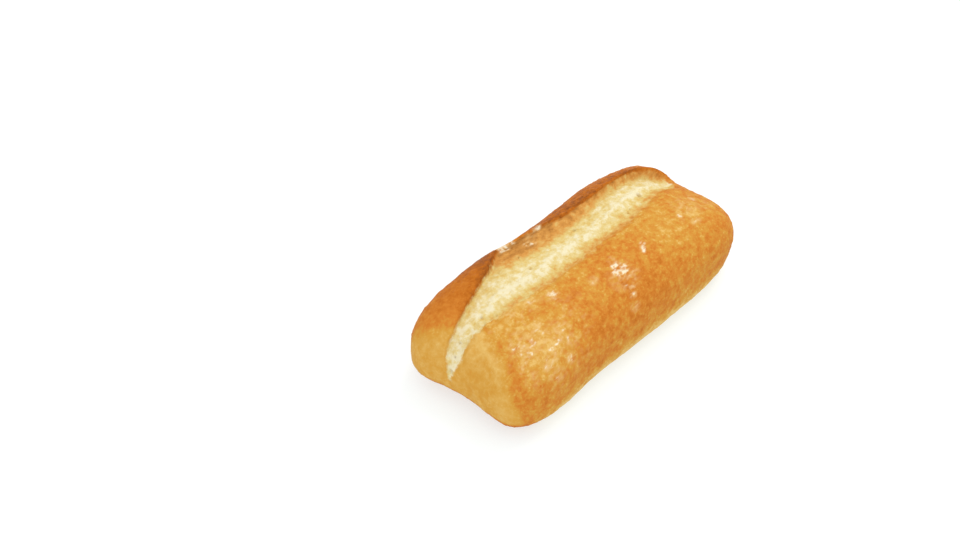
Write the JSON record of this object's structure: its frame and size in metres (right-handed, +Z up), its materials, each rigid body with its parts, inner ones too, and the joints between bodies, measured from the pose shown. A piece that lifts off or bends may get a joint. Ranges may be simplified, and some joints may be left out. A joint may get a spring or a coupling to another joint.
{
  "type": "ciabatta roll",
  "caption": "Oblong bread roll with a flat base, a domed mottled golden crust and a long pale slash that opened along the top in baking.",
  "frame": {"origin": "middle of the roll's footprint, on the surface that it rests on", "axes": "+X along the roll towards the far end of the slash, +Y to the side where the slash's crust edge is raised, +Z up"},
  "size_m": [0.1602, 0.0764, 0.0418],
  "materials": {
    "crust": "baked crust: mottled golden brown, satin, with a pale cream dry crumb in the slash and a thin dusting of flour"
  },
  "bodies": {
    "root": {"ciabatta_roll": "crust"}
  },
  "joints": []
}
